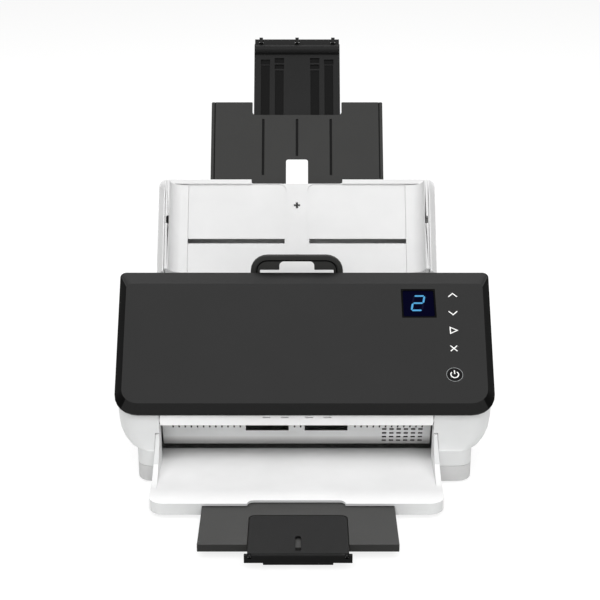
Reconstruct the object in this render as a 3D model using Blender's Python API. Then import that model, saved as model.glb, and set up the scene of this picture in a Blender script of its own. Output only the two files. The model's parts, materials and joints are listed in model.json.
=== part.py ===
"""Sheet fed document scanner, trays open. Sizes in mm, made into metres with each mesh. Front faces -Y."""
import math

import bmesh
import bpy
from mathutils import Matrix, Vector

for old in list(bpy.data.objects):
    bpy.data.objects.remove(old, do_unlink=True)

MM = 0.001

# Fits
SEAT = 0.3          # gap between two pieces that rest on each other
RUN = 0.4           # gap round a piece that slides or turns
SIDE_RUN = 1.0      # gap between the pod and the cheeks

# Body
OPENING_HALF = 110.4        # half width between the cheeks' inner walls
CHEEK_W = 25.4              # from the opening to the side of the base
PANEL_OVER = 47.3           # from the opening to the side of the panel at its top, the widest place
PANEL_TAPER = 5.1           # the panel is narrower by this at its lower edge
BASE_HALF = OPENING_HALF + CHEEK_W
BODY_HALF = OPENING_HALF + PANEL_OVER
PANEL_HALF_LOW = BODY_HALF - PANEL_TAPER
PATH_X = -6.5               # centre line of the paper path, left of the body centre
BODY_BACK = 200.0           # rear face, measured from the cheeks' front
WALL = 2.4
BASE_LOW = 1.5              # underside of the base plate
BASE_TOP = 15.3
BASE_FRONT = -4.0
BASE_FLOOR = 1.8
BASE_ROUND = 12.0           # corner radius of the base in plan
FLANK_LOW = 29.0            # height where the cheeks start to swell out
FLANK_HIGH = 51.0           # height where the swell ends
FLANK_OUT = 15.2            # swell of each cheek beyond the base
FLANK_DRAFT = 0.065           # outward lean of the cheeks above the swell
CORNER = 20.0               # front corner radius in plan
INNER_WALL = 2.0

# Pod
PANEL_TILT = 31.0
HINGE_Y, HINGE_Z = 4.0, 54.0
FACE_RISE = 17.7            # panel face above the hinge, along the panel normal
LID_RISE = 8.9              # lower edge of the panel skirt above the hinge
SKIRT = 1.5
RIM = 6.2                   # width of the chamfered rim
LID_FRONT = -2.6            # lower edge of the panel, along the slope from the hinge
FACE_END = 123.8            # where the flat face turns into the top band
LID_BACK = 140.2
BAND_RISE = 12.0            # rear edge of the top band above the hinge
PANEL_WALL = 2.4
CHASSIS_HALF = OPENING_HALF - SIDE_RUN
CHASSIS_WALL = 2.0
CHASSIS_TOP = 6.5
STRIP_Y = 19.5              # front of the pod chassis floor, over the exit slot
NOSE_Y, NOSE_LOW = -0.8, 50.7   # front face of the pod chassis under the panel, and its lower edge
NOSE_GAP = 0.4              # between that face and the panel
DASH_Z, DASH_HALF, DASH_TALL = 57.6, 3.1, 0.9
DASH_AT = (-24.1, -9.4, 10.1, 24.7)     # dashes on the nose, from the middle of the paper path
TRUNNION_R = 3.0

# Paper path
EXIT_Y, EXIT_Z = 19.5, 40.5
PATH_GAP = 1.2              # height of the paper slot
PLATE = 2.0
PLATE_START, PLATE_END = 3.0, 134.0
NIP = 0.5                   # rollers stand this far above the path plate
EXIT_S, EXIT_R, EXIT_X, EXIT_W = 24.0, 8.0, 24.1, 33.2
DRIVE_S, DRIVE_R, DRIVE_X, DRIVE_W = 86.0, 9.0, 40.0, 16.0
FEED_S, FEED_R, FEED_X, FEED_W = 110.0, 12.0, 16.0, 16.0
SHAFT_R = 3.0
PINCH_R, PINCH_AXLE_R = 5.0, 1.8
SEP_R, SEP_HALF, SEP_AXLE_R = 10.0, 14.0, 2.5
LOWER_CIS_S, UPPER_CIS_S, CIS_W, CIS_DEEP = 44.0, 65.0, 15.0, 14.0
CIS_HALF = OPENING_HALF - 5.4
GLASS_W = 11.2

# Drive
OUT_OVER = 4.8              # the output tray is wider than the opening by this on each side
OUT_HALF = OPENING_HALF + OUT_OVER
FRAME_GAP, FRAME_T = 2.2, 1.2
FRAME_X = OUT_HALF + FRAME_GAP
PULLEY_GAP = 1.4
PULLEY_SHARE = 0.8          # pulley radius over roller radius, one share so that paper speeds agree
MOTOR_PULLEY_R, PULLEY_W = 5.0, 6.0
PULLEY_X = FRAME_X + FRAME_T + PULLEY_GAP
BELT_T, BELT_W = 1.2, 5.0
MOTOR_Y, MOTOR_Z, MOTOR_R, MOTOR_LEN, MOTOR_SHAFT_R = 95.0, 42.0, 17.5, 30.0, 2.0

# Input tray
TRAY_TILT = 53.0
PIVOT_Y, PIVOT_Z = 168.0, 102.0
BED = 20.7                  # bed above the pivot
BED_T = 2.2
POCKET = 1.0                # depth of the two recessed fields of the bed
TRAY_SIDE = 14.1            # the tray is wider than the opening by this on each side
TRAY_HALF = OPENING_HALF + TRAY_SIDE
TRAY_LOW, TRAY_TOP, TRAY_ROUND = 7.5, 96.0, 6.0
TRAY_BACK, TRAY_BACK_T = 2.2, 2.0
SPINE_HALF = 9.5
RAIL_W, RAIL_RISE, RAIL_LAND, RAIL_FALL = 7.0, 11.0, 1.2, 16.0
RIM_W, RIM_RISE = 4.0, 1.5
GUIDE_SLOT, GUIDE_SLOT_H = 38.5, 4.4
SHEET_RUN = 2.8             # the guides stand this far outside the opening
GUIDE_FACE = OPENING_HALF + SHEET_RUN
GUIDE_T, GUIDE_RISE, GUIDE_COVE = 3.8, 14.0, 15.7
GUIDE_FOOT = GUIDE_FACE - GUIDE_COVE
RACK_LOW, RACK_HIGH = 13.2, 18.1
MODULE, TEETH = 1.5, 12
WIDE_HALF, WIDE_TOP, WIDE_LOW, WIDE_CUT = 78.75, 175.4, 78.0, 12.6
WIDE_BACK, WIDE_FACE = 5.2, 12.0
WIDE_SKIN = 1.8
NARROW_HALF, NARROW_TOP, NARROW_LOW = 39.8, 236.1, 139.0
CUT_HALF = NARROW_HALF + 1.2    # half width of the cut-outs round the narrow extension
LUG_X = NARROW_HALF - 6.3
NARROW_T = 2.6
NOTCH_HALF, NOTCH_TOP = 10.0, 119.6
FLAP_LEN, FLAP_BULGE = 13.0, 4.6
FLAP_PIN_R = 1.2

# Output tray
FIN_T, FIN_TOP, FIN_TAIL, FIN_FOOT = 2.9, 42.2, 15.0, -40.0
FIN_IN = OPENING_HALF + 0.1     # inner face of the fins
FIN_FLARE = 1.5             # the fins are thicker by this at the foot
FIN_BAY = 73.5              # the fins' slots in the cheeks reach back to here
OUT_FRONT, OUT_BACK = -60.5, 35.0
OUT_FRONT_Z, OUT_BACK_Z = 13.5, 11.0
OUT_T = 2.0
OUT_LOW = 3.6
OUT_ROUND = 12.0
OUT_SHIFT = 1.4             # the extensions sit this far right of the tray's centre
OUT_WIDE_HALF, OUT_WIDE_FRONT, OUT_WIDE_BACK, OUT_WIDE_T = 74.6, -118.0, -30.0, 4.2
OUT_NARROW_HALF, OUT_NARROW_FRONT, OUT_NARROW_BACK, OUT_NARROW_T = 37.2, -130.0, -74.5, 1.8
STOP_HALF, STOP_DEEP, STOP_TALL = 39.5, 3.2, 6.6
STOP_TAB_HALF, STOP_TAB = 25.6, 1.6
KNUCKLE_X, KNUCKLE_HALF = 35.4, 0.9

# Lever and controls
LEVER_HALF, LEVER_Y, LEVER_T, LEVER_TOP, LEVER_WEB, LEVER_FOOT = 39.8, 123.5, 4.0, 149.8, 136.0, 112.0
LEVER_RIM, LEVER_ROUND, LEVER_LEG = 4.2, 14.5, 8.0
FINGER_HALF, FINGER_TOP = 15.0, 143.8
WINDOW_X, WINDOW_Y, WINDOW_W, WINDOW_H = BODY_HALF - 62.0, 103.0, 26.0, 27.0
BUTTON_X, BUTTON_Y, BUTTON_R = BODY_HALF - 36.5, 31.0, 6.1
BOARD_T = 1.6
MAIN_HALF, MAIN_LOW, MAIN_HIGH, MAIN_BACK = 70.0, 20.0, 84.0, 12.0


def prism(axis, outline, low, high):
    """Closed prism on an outline that lies across the axis."""
    bm = bmesh.new()

    def at(a, b, t):
        return {"x": (t, a, b), "y": (a, t, b), "z": (a, b, t)}[axis]

    ends = [[bm.verts.new(at(a, b, t)) for a, b in outline] for t in (low, high)]
    bm.faces.new(ends[0])
    bm.faces.new(ends[1])
    for i in range(len(outline)):
        bm.faces.new((ends[0][i - 1], ends[0][i], ends[1][i], ends[1][i - 1]))
    bmesh.ops.recalc_face_normals(bm, faces=bm.faces)
    return bm


def box(x0, x1, y0, y1, z0, z1):
    return prism("z", [(x0, y0), (x1, y0), (x1, y1), (x0, y1)], z0, z1)


def disc(axis, a, b, r, low, high, sides=20):
    ring = [(a + r * math.cos(2 * math.pi * k / sides), b + r * math.sin(2 * math.pi * k / sides))
            for k in range(sides)]
    return prism(axis, ring, low, high)


def fillet(corners, steps=5):
    """Outline whose corners (a, b, radius) are rounded by arcs."""
    out = []
    for i, (a, b, r) in enumerate(corners):
        if r <= 0:
            out.append((a, b))
            continue
        p = Vector((a, b))
        u = (Vector(corners[i - 1][:2]) - p).normalized()
        v = (Vector(corners[(i + 1) % len(corners)][:2]) - p).normalized()
        half = u.angle(v) / 2
        centre = p + (u + v).normalized() * (r / math.sin(half))
        start = p + u * (r / math.tan(half)) - centre
        sweep = start.angle_signed(p + v * (r / math.tan(half)) - centre)
        for k in range(steps + 1):
            turn = -sweep * k / steps
            q = centre + Matrix.Rotation(turn, 2) @ start
            out.append((q.x, q.y))
    return out


def loft(rings):
    """Closed skin through rings of equal count, capped at both ends."""
    bm = bmesh.new()
    rows = [[bm.verts.new(p) for p in ring] for ring in rings]
    bm.faces.new(rows[0])
    bm.faces.new(rows[-1])
    for lower, upper in zip(rows, rows[1:]):
        for i in range(len(lower)):
            bm.faces.new((lower[i - 1], lower[i], upper[i], upper[i - 1]))
    bmesh.ops.recalc_face_normals(bm, faces=bm.faces)
    return bm


def gather(*meshes):
    """One mesh from several that do not touch."""
    bm = bmesh.new()
    for part in meshes:
        spare = bpy.data.meshes.new("spare")
        part.to_mesh(spare)
        bm.from_mesh(spare)
        bpy.data.meshes.remove(spare)
        part.free()
    return bm


def turned(bm, tilt, at=(0, 0, 0)):
    """Mesh turned about X by tilt degrees, then shifted."""
    bm.transform(Matrix.Translation(at) @ Matrix.Rotation(math.radians(tilt), 4, "X"))
    return bm


def cross_of(a, b, c):
    """Twice the area of a triangle, positive when it turns left."""
    return (b[0] - a[0]) * (c[1] - a[1]) - (b[1] - a[1]) * (c[0] - a[0])


def hull(points):
    """Convex outline round a set of points."""
    points = sorted(points)
    sides = []
    for run in (points, points[::-1]):
        chain = []
        for p in run:
            while len(chain) > 1 and cross_of(chain[-2], chain[-1], p) <= 0:
                chain.pop()
            chain.append(p)
        sides += chain[:-1]
    return sides


def frame(name, parent, at=(0, 0, 0), tilt=0.0):
    empty = bpy.data.objects.new(name, None)
    bpy.context.scene.collection.objects.link(empty)
    empty.parent = parent
    empty.location = [c * MM for c in at]
    empty.rotation_euler = (math.radians(tilt), 0, 0)
    return empty


def stock(name, colour, roughness, metallic=0.0):
    made = bpy.data.materials.new(name)
    made.use_nodes = True
    shader = made.node_tree.nodes["Principled BSDF"]
    shader.inputs["Base Color"].default_value = (*colour, 1)
    shader.inputs["Roughness"].default_value = roughness
    shader.inputs["Metallic"].default_value = metallic
    return made


def put(name, bm, home):
    mesh = bpy.data.meshes.new(name)
    bm.transform(Matrix.Scale(MM, 4))
    bm.to_mesh(mesh)
    bm.free()
    made = bpy.data.objects.new(name, mesh)
    bpy.context.scene.collection.objects.link(made)
    made.parent = home
    return made


def piece(name, bm, home, look, joins=(), cuts=(), late_joins=(), late_cuts=()):
    """One solid of the scanner: joined on, cut away, then joined and cut again."""
    made = put(name, bm, home)
    made.data.materials.append(look)
    for kind, tools in (("UNION", joins), ("DIFFERENCE", cuts), ("UNION", late_joins),
                        ("DIFFERENCE", late_cuts)):
        for tool in tools:
            cutter = tool if isinstance(tool, bpy.types.Object) else put(f"{name}_tool", tool, home)
            cutter.hide_render = True
            cutter.display_type = "WIRE"
            step = made.modifiers.new(kind.lower(), "BOOLEAN")
            step.operation = kind
            step.solver = "EXACT"
            step.object = cutter
    return made


WHITE = stock("white ABS", (0.80, 0.80, 0.78), 0.45)
BLACK = stock("black ABS", (0.035, 0.035, 0.035), 0.4)
GREY = stock("dark grey ABS", (0.09, 0.09, 0.09), 0.45)
RUBBER = stock("roller rubber", (0.03, 0.03, 0.03), 0.8)
STEEL = stock("plated steel", (0.6, 0.6, 0.6), 0.35, 1.0)
BOARD = stock("circuit board", (0.03, 0.16, 0.07), 0.5)
GLASS = stock("scan glass", (0.5, 0.6, 0.6), 0.05)
LENS = stock("smoked acrylic", (0.01, 0.01, 0.03), 0.08)
NYLON = stock("natural acetal", (0.75, 0.74, 0.70), 0.4)

sin_p, cos_p = math.sin(math.radians(PANEL_TILT)), math.cos(math.radians(PANEL_TILT))
sin_t, cos_t = math.sin(math.radians(TRAY_TILT)), math.cos(math.radians(TRAY_TILT))


def slope(y, z):
    """Pod coordinates of a point of the body."""
    return ((y - HINGE_Y) * cos_p + (z - HINGE_Z) * sin_p, (z - HINGE_Z) * cos_p - (y - HINGE_Y) * sin_p)


def on_path(s, n):
    """Body coordinates of a point of the paper path: s up the path, n above it."""
    return (EXIT_Y + s * cos_p - n * sin_p, EXIT_Z + s * sin_p + n * cos_p)


PATH_S, PATH_N = slope(EXIT_Y, EXIT_Z)
SHAFTS = {"exit": (EXIT_S, NIP - EXIT_R), "drive": (DRIVE_S, NIP - DRIVE_R), "feed": (FEED_S, NIP - FEED_R)}

# Frames. The scanner stands at the middle of its open footprint
lug_top = NARROW_TOP + 3.5
back_end = PIVOT_Y + lug_top * cos_t - (WIDE_FACE - WIDE_SKIN - SEAT - NARROW_T) * sin_t
front_end = OUT_NARROW_FRONT - SEAT - STOP_DEEP
scanner = frame("scanner", None, (0, -(front_end + back_end) / 2, 0))
pod = frame("pod_axis", scanner, (0, HINGE_Y, HINGE_Z), PANEL_TILT)
path = frame("path_frame", scanner, (PATH_X, EXIT_Y, EXIT_Z), PANEL_TILT)
tray = frame("tray_axis", scanner, (PATH_X, PIVOT_Y, PIVOT_Z), TRAY_TILT)
outfeed = frame("output_frame", scanner, (PATH_X, 0, 0))

# Base plate
plan = lambda inset: fillet([(sx * (BASE_HALF - inset), y, BASE_ROUND - inset) for sx, y in
                             ((-1, BASE_FRONT + inset), (1, BASE_FRONT + inset), (1, BODY_BACK - inset),
                              (-1, BODY_BACK - inset))], 4)
piece("base_plate", prism("z", plan(0), BASE_LOW, BASE_TOP), scanner, WHITE, cuts=[
    prism("z", plan(WALL), BASE_LOW + BASE_FLOOR, BASE_TOP + 5),
    box(PATH_X - OUT_HALF - RUN, PATH_X + OUT_HALF + RUN, BASE_FRONT - 5, BASE_FRONT + WALL + 1,
        BASE_LOW + BASE_FLOOR, BASE_TOP + 5)])
for side, sx in (("left", -1), ("right", 1)):
    for end, y in (("front", BASE_FRONT + 16), ("rear", BODY_BACK - 16)):
        x = sx * (BASE_HALF - 18)
        piece(f"foot_{end}_{side}",
              prism("z", fillet([(x - 11, y - 5, 4), (x + 11, y - 5, 4), (x + 11, y + 5, 4),
                                 (x - 11, y + 5, 4)], 3),
                                          0, BASE_LOW - SEAT), scanner, RUBBER)


# Cheeks
def part_height(y, below=0.0):
    """Height of the joint plane between the pod and the cheeks."""
    return HINGE_Z + (LID_RISE - 0.6 - below + (y - HINGE_Y) * sin_p) / cos_p


def flank(side, inner, inset, top):
    """Cheek body from its inner wall out to the swelling side."""
    rings = []
    levels = [(0, BASE_TOP + SEAT if inset == 0 else BASE_TOP - 5), (0, FLANK_LOW)]
    levels += [(a, FLANK_HIGH - (FLANK_HIGH - FLANK_LOW) * math.cos(math.radians(a)))
               for a in (22, 44, 66, 90)]
    levels += [(90, top)]
    for a, z in levels:
        swell = math.sin(math.radians(a))
        half = BASE_HALF + FLANK_OUT * swell + FLANK_DRAFT * max(0, z - FLANK_HIGH) - inset
        fore = BASE_FRONT * (1 - swell) + inset
        ring = fillet([(side * inner, fore, 0),
                       (side * half, fore, BASE_ROUND + (CORNER - BASE_ROUND) * swell - inset),
                       (side * half, BODY_BACK - inset, BASE_ROUND - inset),
                       (side * inner, BODY_BACK - inset, 0)], 6)
        rings.append([(x, y, z) for x, y in ring])
    return loft(rings)


def above(drop):
    """Everything over the cheeks' top line, lowered by drop."""
    line = [(-8, part_height(-8, drop)), (119 - drop, part_height(119 - drop, drop)),
            (122 - drop, 128 - drop), (134 - drop, 106 - drop), (204, 91 - drop)]
    return prism("x", line + [(204, 240), (-8, 240)], -2 * BODY_HALF, 2 * BODY_HALF)


shaft_at = {name: on_path(*sn) for name, sn in SHAFTS.items()}
for side, sx in (("left", -1), ("right", 1)):
    wall = sx * PATH_X + OPENING_HALF
    hollow = put(f"{side}_hollow", flank(sx, wall + INNER_WALL, WALL, 170), scanner)
    lowered = put(f"{side}_lowered", above(WALL), scanner)
    lowered.hide_render, lowered.display_type = True, "WIRE"
    trim = hollow.modifiers.new("trim", "BOOLEAN")
    trim.operation, trim.solver, trim.object = "DIFFERENCE", "EXACT", lowered
    x0, x1 = sorted((sx * (wall - 2), sx * (wall + INNER_WALL + 0.6)))
    holes = [disc("x", HINGE_Y, HINGE_Z, TRUNNION_R + RUN, x0, x1, 16)]
    holes += [disc("x", y, z, SHAFT_R + 1, x0, x1, 14) for y, z in shaft_at.values()]
    if side == "left":
        holes.append(disc("x", MOTOR_Y, MOTOR_Z, MOTOR_SHAFT_R + 1, x0, x1))
    bay = [(PATH_X + sx * x, z) for x, z in ((FIN_IN - 1, 0), (OUT_HALF + 2 * RUN, 0),
                                             (FIN_IN + FIN_T + RUN, FIN_TOP + 1.2),
                                             (FIN_IN - 1, FIN_TOP + 1.2))]
    piece(f"{side}_cheek", flank(sx, wall, 0, 170), scanner, WHITE, cuts=[
        above(0), hollow, gather(*holes), prism("y", bay, min(0, BASE_FRONT) - 8, FIN_BAY)])

# Rear cover with the two ears that carry the input tray
ear_in, ear_out = OPENING_HALF - 6.2, OPENING_HALF - 2.2
cover = [(BODY_BACK, BASE_TOP + SEAT), (BODY_BACK, 91), (151, 97), (148, 108.5), (137, 110.6),
         (136.4, 108.6), (146.3, 106.7), (148.9, 95), (BODY_BACK - WALL, 88.8),
         (BODY_BACK - WALL, BASE_TOP + SEAT)]
ears, bores = [], []
for sx in (-1, 1):
    a, b = sorted((PATH_X + sx * ear_in, PATH_X + sx * ear_out))
    ears.append(prism("x", hull([(159, 94.5),
                                 (178, 92)] + [(PIVOT_Y + 6.5 * math.cos(k * math.pi / 10),
                                                PIVOT_Z + 6.5 * math.sin(k * math.pi / 10))
                                                for k in range(20)]), a, b))
    bores.append(disc("x", PIVOT_Y, PIVOT_Z, TRUNNION_R + RUN, a - 1, b + 1))
INLET_X, PORT_X, PORT_Z = 40.0, 5.0, 40.0
board_x0, board_x1 = PATH_X - MAIN_HALF, PATH_X + MAIN_HALF
board_y = BODY_BACK - WALL - MAIN_BACK
posts = [disc("y", x, z, 3, board_y + BOARD_T + SEAT, BODY_BACK - WALL + 1, 14)
         for x in (board_x0 + 6, board_x1 - 6) for z in (MAIN_LOW + 8, MAIN_HIGH - 8)]
piece("rear_cover", prism("x", cover, PATH_X - OPENING_HALF + 0.5, PATH_X + OPENING_HALF - 0.5), scanner,
      WHITE, joins=[gather(*ears), gather(*posts)],
      cuts=[gather(*bores), gather(disc("y", INLET_X, PORT_Z, 4.6, BODY_BACK - 5, BODY_BACK + 2, 24),
                                   box(PORT_X - 6.6, PORT_X + 6.6, BODY_BACK - 5, BODY_BACK + 2, PORT_Z - 6,
                                       PORT_Z + 6))])
piece("main_board", box(board_x0, board_x1, board_y, board_y + BOARD_T, MAIN_LOW, MAIN_HIGH), scanner, BOARD)
piece("power_inlet", box(INLET_X - 4.4 + 0.2, INLET_X + 4.4 - 0.2, board_y + BOARD_T + SEAT,
                         BODY_BACK - WALL - 0.6, PORT_Z - 5, PORT_Z + 5), scanner, BLACK,
      joins=[disc("y", INLET_X, PORT_Z, 4.2, BODY_BACK - WALL - 1.4, BODY_BACK - 0.2, 24)],
      cuts=[disc("y", INLET_X, PORT_Z, 3.2, BODY_BACK - 9.5, BODY_BACK + 2, 20)])
piece("data_port", box(PORT_X - 6.2, PORT_X + 6.2, board_y + BOARD_T + SEAT, BODY_BACK - 0.2, PORT_Z - 5.6,
                       PORT_Z + 5.6), scanner, STEEL,
      cuts=[box(PORT_X - 4.6, PORT_X + 4.6, BODY_BACK - 9, BODY_BACK + 2, PORT_Z - 4.2, PORT_Z + 4.2)])

# Exit cover: curved wall below the paper slot, with roller slots, teeth and vents
wall_line = [on_path(0.1, -0.2), (20.6, 38.0), (21.4, 33.6), (22.8, 28.8), (24.8, 24.0), (27.2, 19.6)]
back_line = [(y + 2.2, z + 0.6) for y, z in reversed(wall_line[2:])]
back_line += [on_path(PLATE_START - RUN, -PLATE - RUN), on_path(PLATE_START - RUN, -0.2)]
x0, x1 = PATH_X - OPENING_HALF + 0.5, PATH_X + OPENING_HALF - 0.5
slots = [box(PATH_X + sx * EXIT_X - EXIT_W / 2 - 1, PATH_X + sx * EXIT_X + EXIT_W / 2 + 1, 18, 26, 34.8,
             45) for sx in (-1, 1)]
teeth_x = [sx * (OPENING_HALF - 8.4 - 5 * k) for sx in (-1, 1) for k in range(12)] + [-2.5, 2.5]
teeth_mid = PATH_X + 0.8
slots += [box(teeth_mid + t - 0.6, teeth_mid + t + 0.6, 18, 24.5, 37.8, 45) for t in teeth_x]
vent_x, vent_z, vent_pitch, vent_row = PATH_X + OPENING_HALF - 38.5, 36.2, 5.92, 4.1
vents = [box(vent_x + vent_pitch * c - 1.8, vent_x + vent_pitch * c + 1.8, 15, 34,
             vent_z - vent_row * r - 0.8, vent_z - vent_row * r + 0.8) for c in range(6) for r in range(4)]
piece("exit_cover", prism("x", wall_line + back_line, x0, x1), scanner, WHITE,
      cuts=[gather(*slots), gather(*vents)])

# Lower path plate, sensor and glass
windows = [box(sx * EXIT_X - EXIT_W / 2 - 1, sx * EXIT_X + EXIT_W / 2 + 1, EXIT_S - 6.8, EXIT_S + 6.8, -5,
               2) for sx in (-1, 1)]
windows += [box(sx * DRIVE_X - DRIVE_W / 2 - 1, sx * DRIVE_X + DRIVE_W / 2 + 1, DRIVE_S - 7.2,
                DRIVE_S + 7.2, -5, 2) for sx in (-1, 1)]
windows += [box(sx * FEED_X - FEED_W / 2 - 1, sx * FEED_X + FEED_W / 2 + 1, FEED_S - 8.4, FEED_S + 8.4, -5,
                2) for sx in (-1, 1)]
windows += [box(-CIS_HALF - SEAT, CIS_HALF + SEAT, LOWER_CIS_S - GLASS_W / 2 - SEAT,
                LOWER_CIS_S + GLASS_W / 2 + SEAT, -5, 2)]
piece("path_plate", box(-OPENING_HALF + 0.5, OPENING_HALF - 0.5, PLATE_START, PLATE_END, -PLATE, 0), path,
      GREY, cuts=[gather(*windows)])
piece("lower_glass", box(-CIS_HALF, CIS_HALF, LOWER_CIS_S - GLASS_W / 2, LOWER_CIS_S + GLASS_W / 2, -PLATE,
                         -0.1), path, GLASS)
piece("lower_sensor", box(-CIS_HALF, CIS_HALF, LOWER_CIS_S - CIS_W / 2, LOWER_CIS_S + CIS_W / 2,
                          -PLATE - SEAT - CIS_DEEP, -PLATE - SEAT), path, BLACK)

# Driven shafts: tyres, pulleys, belt, motor and the steel side frames
for name, r, x, w in (("exit", EXIT_R, EXIT_X, EXIT_W), ("drive", DRIVE_R, DRIVE_X, DRIVE_W),
                      ("feed", FEED_R, FEED_X, FEED_W)):
    s, n = SHAFTS[name]
    axis = frame(f"{name}_axis", path, (0, s, n))
    piece(f"{name}_shaft", disc("x", 0, 0, SHAFT_R, -PULLEY_X - PULLEY_W - 1, FRAME_X + FRAME_T + 2, 20),
          axis, STEEL)
    for side, sx in (("left", -1), ("right", 1)):
        piece(f"{name}_tyre_{side}", disc("x", 0, 0, r, sx * x - w / 2, sx * x + w / 2), axis, RUBBER,
              cuts=[disc("x", 0, 0, SHAFT_R + SEAT, sx * x - w, sx * x + w, 20)])
    piece(f"{name}_pulley", disc("x", 0, 0, PULLEY_SHARE * r, -PULLEY_X - PULLEY_W, -PULLEY_X), axis, NYLON,
          cuts=[disc("x", 0, 0, SHAFT_R + SEAT, -PULLEY_X - PULLEY_W - 2, -PULLEY_X + 2, 20)])
motor_x = PATH_X - OPENING_HALF + SEAT
piece("drive_motor", disc("x", MOTOR_Y, MOTOR_Z, MOTOR_R, motor_x, motor_x + MOTOR_LEN), scanner, STEEL)
motor_axis = frame("motor_axis", scanner, (PATH_X, MOTOR_Y, MOTOR_Z))
piece("motor_pulley", disc("x", 0, 0, MOTOR_PULLEY_R, -PULLEY_X - PULLEY_W, -PULLEY_X, 24), motor_axis,
      NYLON, joins=[disc("x", 0, 0, MOTOR_SHAFT_R, -PULLEY_X - 1, -OPENING_HALF, 16)])


def belt_run(extra):
    centres = [(*shaft_at[name], PULLEY_SHARE * r) for name,
               r in (("exit", EXIT_R), ("drive", DRIVE_R), ("feed", FEED_R))] + [(MOTOR_Y, MOTOR_Z,
                   MOTOR_PULLEY_R)]
    return hull([(y + (r + extra) * math.cos(k * math.pi / 14),
                  z + (r + extra) * math.sin(k * math.pi / 14)) for y, z, r in centres for k in range(28)])


belt_x = PATH_X - PULLEY_X - PULLEY_W / 2
piece("drive_belt", prism("x", belt_run(RUN + BELT_T), belt_x - BELT_W / 2, belt_x + BELT_W / 2), scanner,
      RUBBER,
      cuts=[prism("x", belt_run(RUN), belt_x - BELT_W, belt_x + BELT_W)])
plate_line = [(30, 52), (60, 24), (150, 24), (150, 94), (134, 98), (120, 102), (108, 98)]
for side, sx in (("left", -1), ("right", 1)):
    a, b = sorted((PATH_X + sx * FRAME_X, PATH_X + sx * (FRAME_X + FRAME_T)))
    holes = [disc("x", y, z, SHAFT_R + SEAT, a - 1, b + 1, 16) for y, z in shaft_at.values()]
    if side == "left":
        holes.append(disc("x", MOTOR_Y, MOTOR_Z, MOTOR_SHAFT_R + 1, a - 1, b + 1, 20))
    piece(f"{side}_frame", prism("x", plate_line, a, b), scanner, STEEL, cuts=[gather(*holes)])


# Front panel: a shallow lid lofted from its skirt to the inset face
def lid_ring(inset, rise, back, back_rise):
    lean = (BODY_HALF - PANEL_HALF_LOW) / (LID_BACK - LID_FRONT)
    low = LID_FRONT + inset
    half = lambda y: PANEL_HALF_LOW + lean * (y - LID_FRONT) - inset
    ring = fillet([(-half(low), low, CORNER - inset), (half(low), low, CORNER - inset),
                   (half(back), back, 5), (-half(back), back, 5)], 6)
    return [(x, y, back_rise if y > back - 5.5 else rise) for x, y in ring]


outer = [lid_ring(0, LID_RISE, LID_BACK, LID_RISE), lid_ring(0, LID_RISE + SKIRT, LID_BACK, BAND_RISE),
         lid_ring(RIM, FACE_RISE, FACE_END, FACE_RISE)]
inner = [lid_ring(PANEL_WALL, LID_RISE - 3, LID_BACK - PANEL_WALL, LID_RISE - 3),
         lid_ring(PANEL_WALL, LID_RISE + SKIRT, LID_BACK - PANEL_WALL, BAND_RISE - PANEL_WALL),
         lid_ring(RIM + PANEL_WALL, FACE_RISE - PANEL_WALL, FACE_END - PANEL_WALL, FACE_RISE - PANEL_WALL)]
BOARD_RISE = LID_RISE + SEAT
board_top = BOARD_RISE + BOARD_T
pillars = [disc("z", x, y, 3, board_top + SEAT, FACE_RISE - PANEL_WALL + 0.5, 14)
           for x in (WINDOW_X - 7.7, BUTTON_X + 10.8) for y in (44, 80)]
pane = lambda grow: fillet([(WINDOW_X + sx * (WINDOW_W / 2 + grow), WINDOW_Y + sy * (WINDOW_H / 2 + grow),
                             1.5 + grow) for sx, sy in ((-1, -1), (1, -1), (1, 1), (-1, 1))], 3)
piece("front_panel", loft(outer), pod, BLACK, cuts=[loft(inner)], late_joins=[gather(*pillars)], late_cuts=[
    prism("z", pane(SEAT), FACE_RISE - 6, FACE_RISE + 3),
    disc("z", BUTTON_X, BUTTON_Y, BUTTON_R + SEAT, FACE_RISE - 6, FACE_RISE + 3, 32)])
flange = FACE_RISE - PANEL_WALL - SEAT
piece("display_window", prism("z", pane(0), flange - 1.2, FACE_RISE - 0.7), pod, LENS,
      joins=[prism("z", pane(2), flange - 1.4, flange)])
piece("display_module", box(WINDOW_X - WINDOW_W / 2, WINDOW_X + WINDOW_W / 2, WINDOW_Y - WINDOW_H / 2,
                            WINDOW_Y + WINDOW_H / 2, board_top + SEAT, flange - 1.4 - SEAT), pod, BLACK)
piece("control_board", box(WINDOW_X - 15.7, BUTTON_X + 14.8, BUTTON_Y - 11, WINDOW_Y + 17, BOARD_RISE,
                           board_top), pod, BOARD,
      joins=[box(BUTTON_X - 3, BUTTON_X + 3, BUTTON_Y - 3, BUTTON_Y + 3, board_top - 0.5, board_top + 1.2)])
button = frame("button_axis", pod, (BUTTON_X, BUTTON_Y, FACE_RISE))
press = 1.0
piece("power_button", disc("z", 0, 0, BUTTON_R, flange - FACE_RISE - 0.5, 0.2, 32), button, BLACK,
      joins=[disc("z", 0, 0, BUTTON_R + 1.3, flange - FACE_RISE - 1.4, flange - FACE_RISE, 32),
             disc("z", 0, 0, 2, board_top + 1.2 + press + SEAT - FACE_RISE, flange - FACE_RISE - 1, 16)])

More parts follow.
